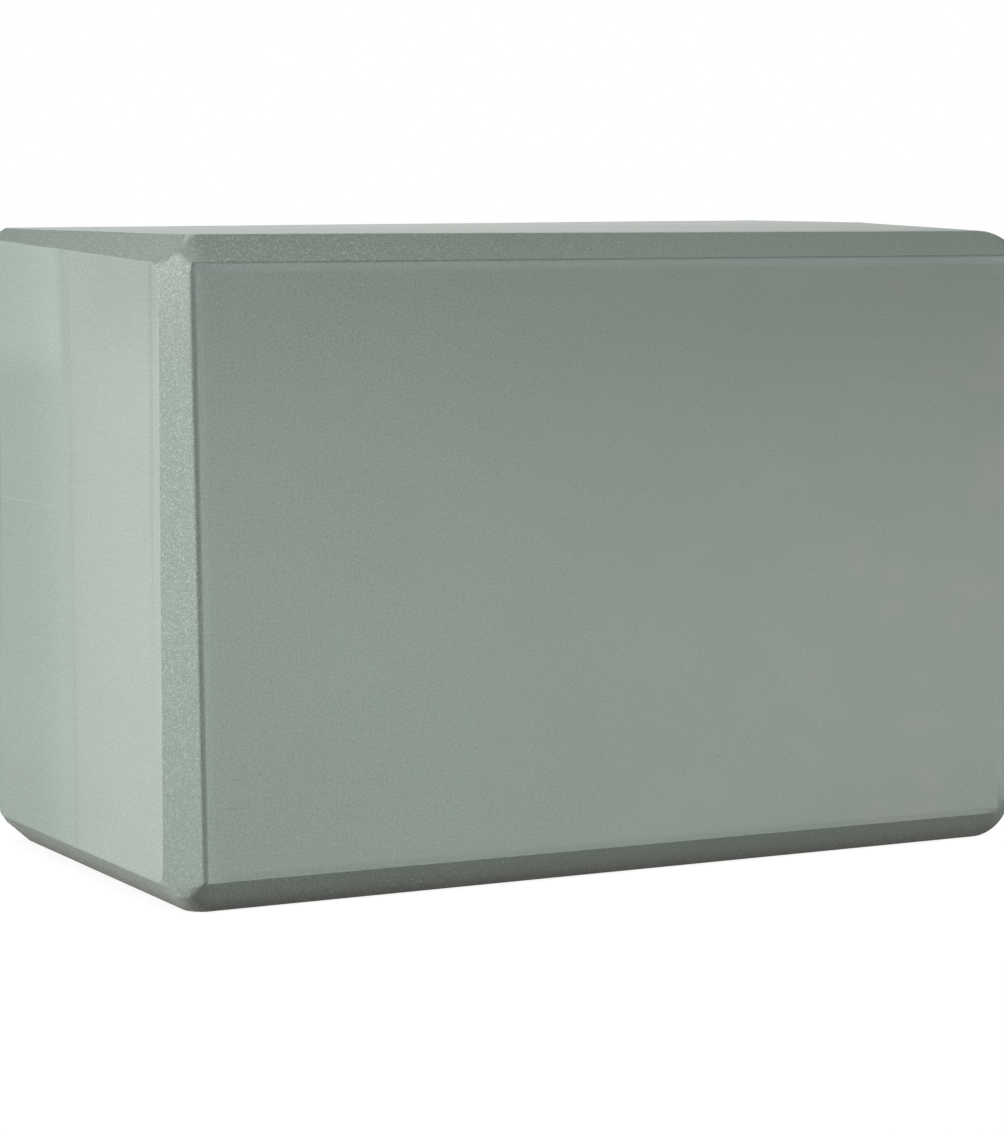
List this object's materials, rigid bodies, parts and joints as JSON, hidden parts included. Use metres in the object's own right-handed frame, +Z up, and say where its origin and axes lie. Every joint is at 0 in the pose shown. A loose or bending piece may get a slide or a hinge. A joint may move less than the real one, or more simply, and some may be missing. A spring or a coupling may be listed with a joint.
{
  "type": "yoga block",
  "caption": "Firm foam yoga block of glued foam sheets, a plain brick with routed bevelled edges and a shallow quirk round each large face.",
  "frame": {"origin": "middle of the long narrow face that the block stands on", "axes": "+X along the length, -Y out of the front large face, +Z up through the height; the glue line is the plane Y = 0"},
  "size_m": [0.225, 0.1202, 0.15],
  "materials": {
    "foam": "matte closed-cell EVA foam, sage green",
    "adhesive": "dull dark green glue line"
  },
  "bodies": {
    "root": {"front_foam_sheet": "foam", "back_foam_sheet": "foam", "bond_film": "adhesive"}
  },
  "joints": []
}
